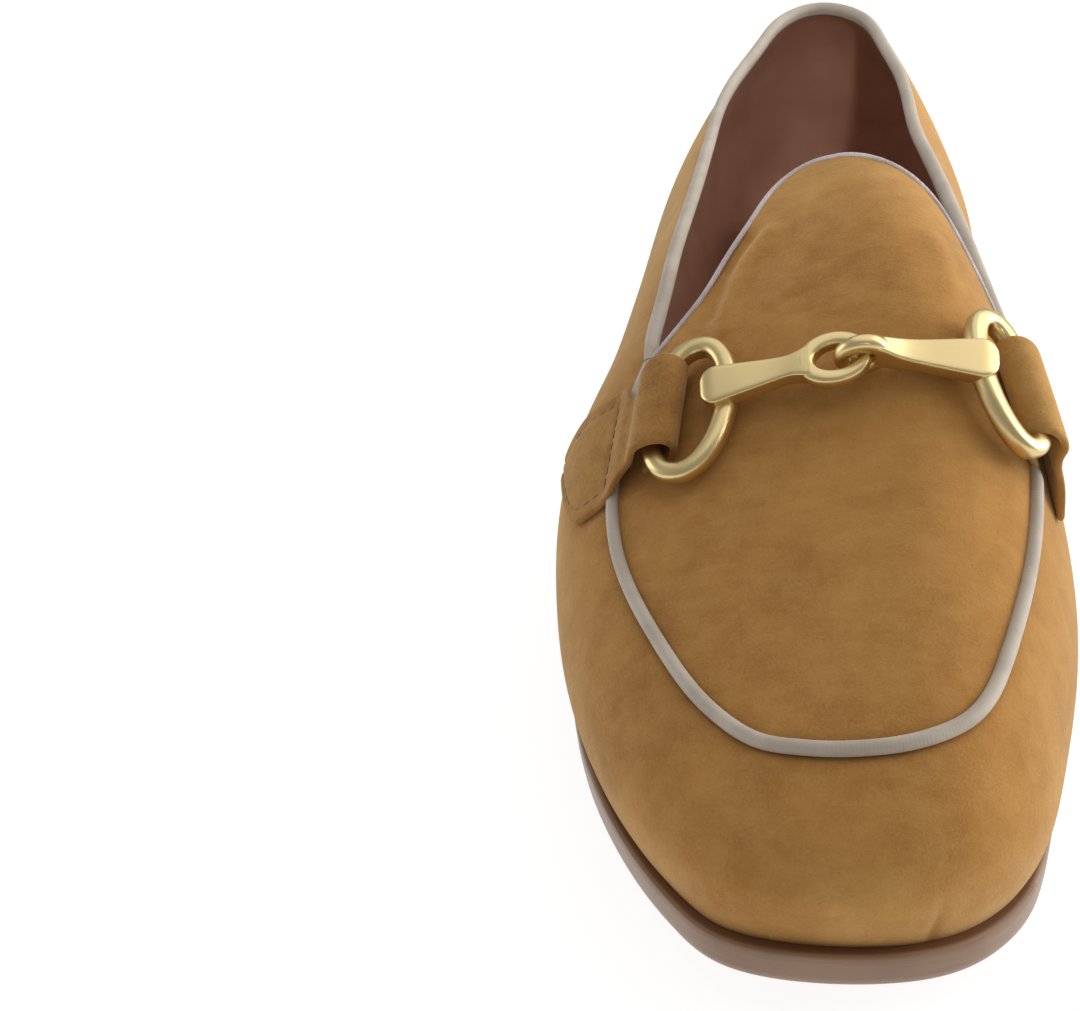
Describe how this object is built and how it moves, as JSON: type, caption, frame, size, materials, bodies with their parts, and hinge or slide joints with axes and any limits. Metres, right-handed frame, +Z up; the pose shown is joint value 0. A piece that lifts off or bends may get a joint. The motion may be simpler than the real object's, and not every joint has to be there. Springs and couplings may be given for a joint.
{
  "type": "slip-on loafer shoe",
  "caption": "Low suede slip-on loafer for the right foot with an apron vamp, contrast piping, bound topline, a linked metal bit and a low heel.",
  "frame": {"origin": "centre of the shoe's bounding box at the floor", "axes": "+Z up, toe along -Y, medial side along +X, lateral side along -X"},
  "size_m": [0.091, 0.2596, 0.0791],
  "materials": {
    "outsole": "smooth burnished brown leather edge",
    "heel": "dark brown stacked leather",
    "insole": "smooth brown lining leather",
    "upper": "mustard suede with a soft nap",
    "apron_piping": "taupe leather piping",
    "quarter_binding": "taupe leather binding",
    "tongue_binding": "thin woven binding tape",
    "tab_lateral": "mustard suede",
    "tab_medial": "mustard suede",
    "bit_lateral": "satin pale gold plating",
    "bit_medial": "satin pale gold plating"
  },
  "bodies": {
    "root": {"outsole": "outsole", "heel": "heel", "insole": "insole", "upper": "upper", "apron_piping": "apron_piping", "quarter_binding": "quarter_binding", "tongue_binding": "tongue_binding", "tab_lateral": "tab_lateral", "tab_medial": "tab_medial", "bit_lateral": "bit_lateral", "bit_medial": "bit_medial"}
  },
  "joints": []
}
